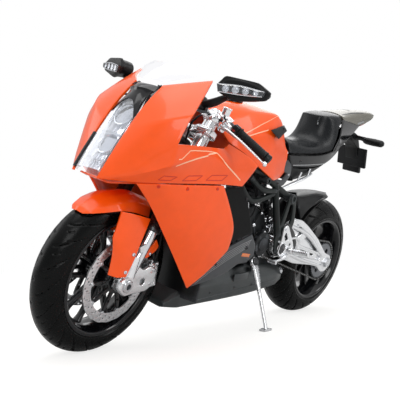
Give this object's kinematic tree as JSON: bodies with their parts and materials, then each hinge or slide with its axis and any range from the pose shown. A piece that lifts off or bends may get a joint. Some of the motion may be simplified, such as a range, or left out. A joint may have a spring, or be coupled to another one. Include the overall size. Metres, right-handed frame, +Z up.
{
  "type": "scale model motorcycle",
  "caption": "Display model of a faired sports motorcycle leaning on its side stand, with turning wheels, steering, sprung suspension and folding stand.",
  "frame": {"origin": "centre of the bounding box on the plane the tyres and the stand foot rest on", "axes": "+X forward along the machine, +Y to its left (the side it leans to), +Z up"},
  "size_m": [0.174, 0.0708, 0.095],
  "materials": {
    "orange_paint": "gloss orange with a clear coat",
    "black_gloss": "gloss black",
    "black_satin": "fine satin black",
    "tail_metal": "warm grey metallic",
    "seat_vinyl": "satin black vinyl",
    "tread_rubber": "matt black",
    "hand_rubber": "matt black",
    "black_metal": "satin black",
    "frame_grey": "dark grey satin",
    "bright_alloy": "satin silver",
    "chrome_parts": "bright plated",
    "disc_steel": "brushed",
    "engine_grey": "dark cast grey",
    "chain_steel": "oiled steel",
    "clear_lens": "clear",
    "lamp_chrome": "reflector bright",
    "red_lens": "clear red",
    "box_grey": "dark grey satin"
  },
  "bodies": {
    "chassis": {"frame": "frame_grey", "subframe": "black_metal", "pivot_bolts": "chrome_parts", "crankcase": "engine_grey", "cylinders": "engine_grey", "engine_covers": "engine_grey", "radiator": "black_metal", "exhaust_box": "box_grey", "upper_fairing_left": "orange_paint", "upper_fairing_right": "orange_paint", "side_fairing_left": "orange_paint", "side_fairing_right": "orange_paint", "inner_fairings": "black_gloss", "lower_covers": "black_satin", "nose_underside": "black_satin", "headlight_lens": "clear_lens", "headlight_housing": "lamp_chrome", "dash_cover": "black_gloss", "windscreen": "clear_lens", "fuel_tank": "orange_paint", "tank_inserts": "black_satin", "seat": "seat_vinyl", "tail_sides": "black_gloss", "undertray": "black_satin", "tail_cover": "tail_metal", "tail_light": "red_lens", "plate_holder": "black_satin", "rearsets": "bright_alloy", "fairing_screws": "black_metal"},
    "steering": {"fork_outers": "black_metal", "lower_clamp": "black_metal", "upper_clamp": "bright_alloy", "clip_ons": "black_metal", "grips_and_switches": "hand_rubber"},
    "clutch_lever_arm": {"clutch_lever": "bright_alloy"},
    "brake_lever_arm": {"brake_lever": "bright_alloy"},
    "fork_lower": {"fork_sliders": "chrome_parts", "front_calipers": "bright_alloy", "front_axle": "disc_steel", "front_fender": "orange_paint"},
    "front_wheel": {"front_tyre": "tread_rubber", "front_rim": "black_metal", "front_discs": "disc_steel"},
    "rear_arm": {"swingarm": "bright_alloy", "rear_axle": "disc_steel", "drive_chain": "chain_steel", "hugger": "black_satin", "rear_caliper": "bright_alloy"},
    "rear_wheel": {"rear_tyre": "tread_rubber", "rear_rim": "black_metal", "rear_disc": "disc_steel", "rear_sprocket": "disc_steel"},
    "shock_upper": {"shock_body": "black_metal", "shock_spring": "chrome_parts"},
    "shock_lower": {"shock_shaft": "chrome_parts"},
    "stand": {"side_stand": "bright_alloy"},
    "left_mirror": {"mirror_left": "black_gloss", "mirror_lamp_left": "clear_lens"},
    "right_mirror": {"mirror_right": "black_gloss", "mirror_lamp_right": "clear_lens"}
  },
  "joints": [
    {"name": "steering", "type": "hinge", "parent": "chassis", "child": "steering", "pos_m": [0.04197, -0.0051, 0.06183], "axis": [-0.3955, 0.2685, 0.8783], "range_deg": [-25.8, 14.2]},
    {"name": "clutch_lever_pull", "type": "hinge", "parent": "steering", "child": "clutch_lever_arm", "pos_m": [0.0379, 0.01111, 0.06855], "axis": [-0.0389, 0.6795, 0.7327], "range_deg": [0, 6]},
    {"name": "brake_lever_pull", "type": "hinge", "parent": "steering", "child": "brake_lever_arm", "pos_m": [0.04039, -0.01407, 0.07737], "axis": [-0.0355, 0.0742, -0.9966], "range_deg": [0, 6]},
    {"name": "fork_travel", "type": "slide", "parent": "steering", "child": "fork_lower", "axis": [-0.3955, 0.2685, 0.8783], "range_m": [0, 0.003], "stiffness_N_per_m": 1500, "springref_m": -0.0012},
    {"name": "front_wheel_spin", "type": "hinge", "parent": "fork_lower", "child": "front_wheel", "pos_m": [0.06214, -0.01638, 0.02391], "axis": [-0.0928, 0.9397, -0.3291], "continuous": true},
    {"name": "swingarm_pivot", "type": "hinge", "parent": "chassis", "child": "rear_arm", "pos_m": [-0.01365, -0.01372, 0.03362], "axis": [0, 0.9563, -0.2924], "range_deg": [0, 3.5], "stiffness_Nm_per_rad": 1, "springref_deg": -5.16},
    {"name": "rear_wheel_spin", "type": "hinge", "parent": "rear_arm", "child": "rear_wheel", "pos_m": [-0.05705, -0.01609, 0.02588], "axis": [0, 0.9563, -0.2924], "continuous": true},
    {"name": "shock_tilt", "type": "hinge", "parent": "chassis", "child": "shock_upper", "pos_m": [-0.01455, -0.00893, 0.04931], "axis": [0, 0.9563, -0.2924], "range_deg": [-0.5, 1]},
    {"name": "shock_slide", "type": "slide", "parent": "shock_upper", "child": "shock_lower", "axis": [0.5882, 0.2365, 0.7734], "range_m": [0, 0.001], "deforming": ["shock_spring"]},
    {"name": "side_stand_fold", "type": "hinge", "parent": "chassis", "child": "stand", "pos_m": [-0.00175, -0.00531, 0.02488], "axis": [0, 0.975, 0.2223], "range_deg": [0, 70]},
    {"name": "mirror_left_fold", "type": "hinge", "parent": "chassis", "child": "left_mirror", "pos_m": [0.04995, 0.01459, 0.07286], "axis": [0, 0.2924, 0.9563], "range_deg": [-15, 15]},
    {"name": "mirror_right_fold", "type": "hinge", "parent": "chassis", "child": "right_mirror", "pos_m": [0.04995, -0.01525, 0.08198], "axis": [0, 0.2924, 0.9563], "range_deg": [-15, 15]}
  ],
  "couplings": [
    {"joint": "shock_tilt", "follows": "swingarm_pivot", "ratio": 0.0638},
    {"joint": "shock_slide", "follows": "swingarm_pivot", "m_per_rad": 0.010374}
  ]
}
